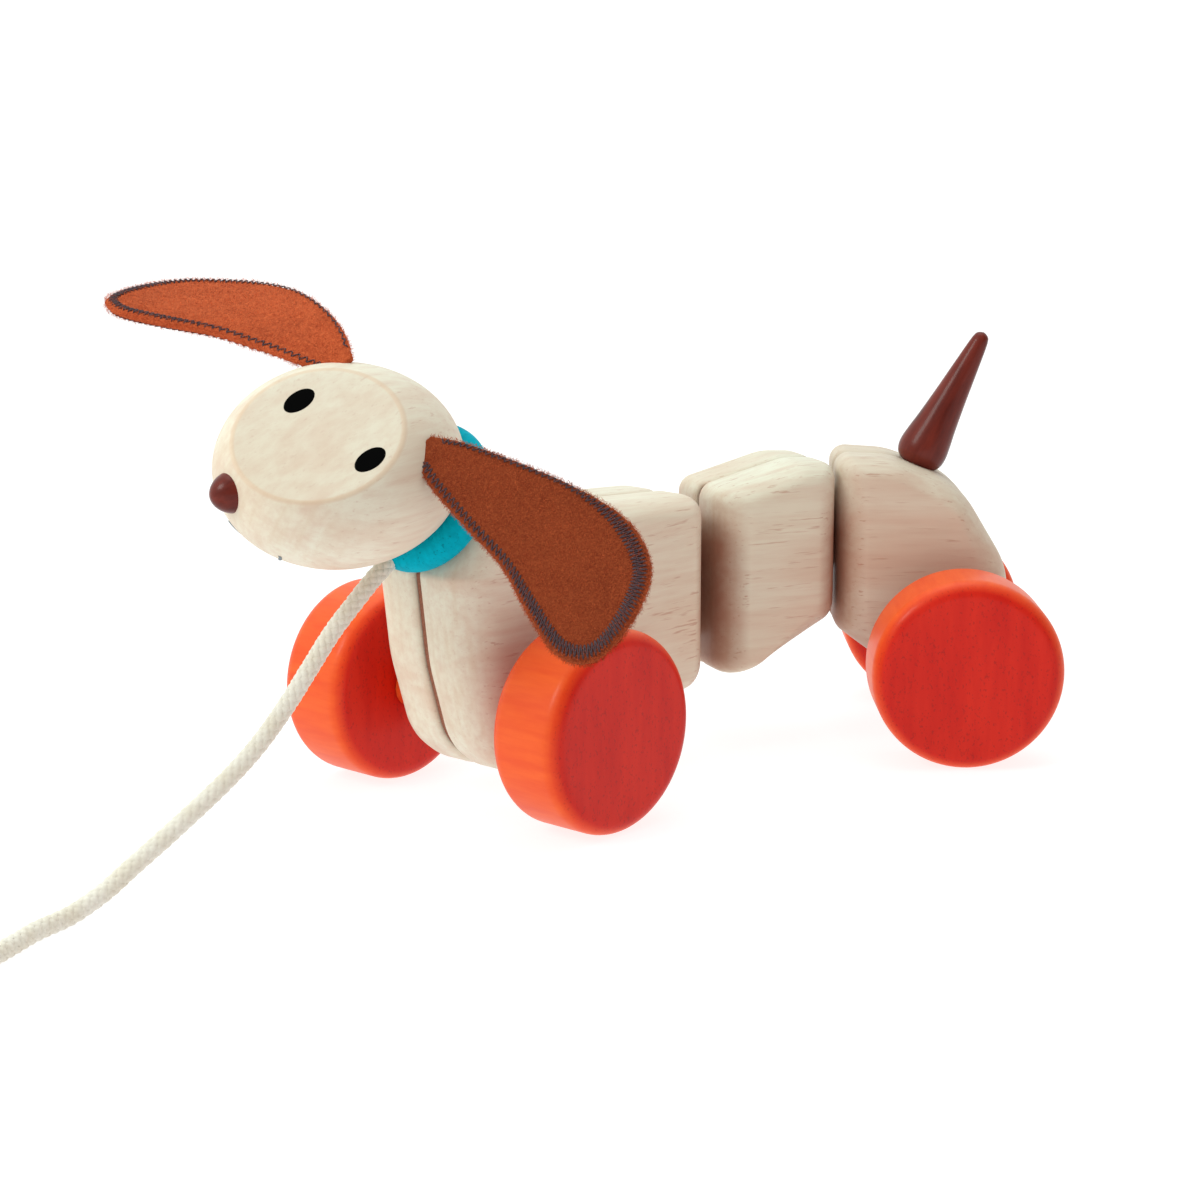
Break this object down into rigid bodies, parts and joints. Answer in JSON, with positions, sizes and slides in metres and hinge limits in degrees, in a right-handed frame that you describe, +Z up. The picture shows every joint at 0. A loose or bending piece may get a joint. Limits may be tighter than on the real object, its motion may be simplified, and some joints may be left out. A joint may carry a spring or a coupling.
{
  "type": "pull along toy",
  "caption": "Jointed wooden dog on wheels with felt ears, a swivelling head and a cotton pull cord, standing in a bent pose",
  "frame": {"origin": "floor level, under the middle of the toy's box, cord left out", "axes": "+Z up; the rear block looks along -X, the middle block is turned 21.8 degrees and the front block 46.5 degrees from it towards -Y"},
  "size_m": [0.3111, 0.2795, 0.1278],
  "materials": {
    "rubberwood": "pale fine-grained wood, smooth satin lacquer",
    "red_wood": "orange-red stained wood, satin lacquer",
    "teal_paint": "turquoise painted wood, satin",
    "dark_wood": "dark brown stained wood, glossy lacquer",
    "felt": "rust brown felt with zigzag stitched edge",
    "strap_fabric": "reddish brown flexible strap",
    "dowel_wood": "plain turned dowel",
    "cotton": "off-white braided cotton cord"
  },
  "bodies": {
    "front_body": {"front_half_left": "rubberwood", "front_half_right": "rubberwood", "front_strap": "strap_fabric", "neck_peg": "dowel_wood", "collar": "teal_paint", "pull_cord": "cotton", "cord_coil": "cotton", "pull_bead": "red_wood"},
    "head_body": {"head": "rubberwood", "nose": "dark_wood"},
    "left_ear_body": {"ear_left": "felt"},
    "right_ear_body": {"ear_right": "felt"},
    "middle_body": {"middle_half_left": "rubberwood", "middle_half_right": "rubberwood", "middle_strap": "strap_fabric"},
    "rear_body": {"rear_half_left": "rubberwood", "rear_half_right": "rubberwood", "rear_strap": "strap_fabric", "tail": "dark_wood"},
    "front_wheels": {"front_axle": "dowel_wood", "wheel_front_left": "red_wood", "wheel_front_right": "red_wood", "spacer_front_left": "dowel_wood", "spacer_front_right": "dowel_wood"},
    "rear_wheels": {"rear_axle": "dowel_wood", "wheel_rear_left": "red_wood", "wheel_rear_right": "red_wood", "spacer_rear_left": "dowel_wood", "spacer_rear_right": "dowel_wood"}
  },
  "joints": [
    {"name": "head_swivel", "type": "hinge", "parent": "front_body", "child": "head_body", "pos_m": [-0.04379, -0.03309, 0.0792], "axis": [-0.6078, -0.6405, 0.4695], "range_deg": [-30, 30]},
    {"name": "left_ear_flap", "type": "hinge", "parent": "head_body", "child": "left_ear_body", "pos_m": [-0.04173, -0.06468, 0.09358], "axis": [-0.7392, -0.3123, -0.5967], "range_deg": [-20, 20], "stiffness_Nm_per_rad": 0.08},
    {"name": "right_ear_flap", "type": "hinge", "parent": "head_body", "child": "right_ear_body", "pos_m": [-0.06535, -0.04721, 0.11369], "axis": [-0.6825, -0.3502, -0.6415], "range_deg": [-20, 20], "stiffness_Nm_per_rad": 0.08},
    {"name": "front_hinge", "type": "hinge", "parent": "front_body", "child": "middle_body", "pos_m": [0.01975, 0.03386, 0.048], "axis": [0, 0, 1], "range_deg": [-12, 61]},
    {"name": "rear_hinge", "type": "hinge", "parent": "middle_body", "child": "rear_body", "pos_m": [0.0601, 0.05, 0.055], "axis": [0, 0, 1], "range_deg": [-1, 44]},
    {"name": "front_axle_spin", "type": "hinge", "parent": "front_body", "child": "front_wheels", "pos_m": [-0.03085, -0.01946, 0.025], "axis": [0.7254, -0.6884, 0], "continuous": true},
    {"name": "rear_axle_spin", "type": "hinge", "parent": "rear_body", "child": "rear_wheels", "pos_m": [0.0941, 0.05, 0.025], "axis": [0, -1, 0], "continuous": true}
  ]
}
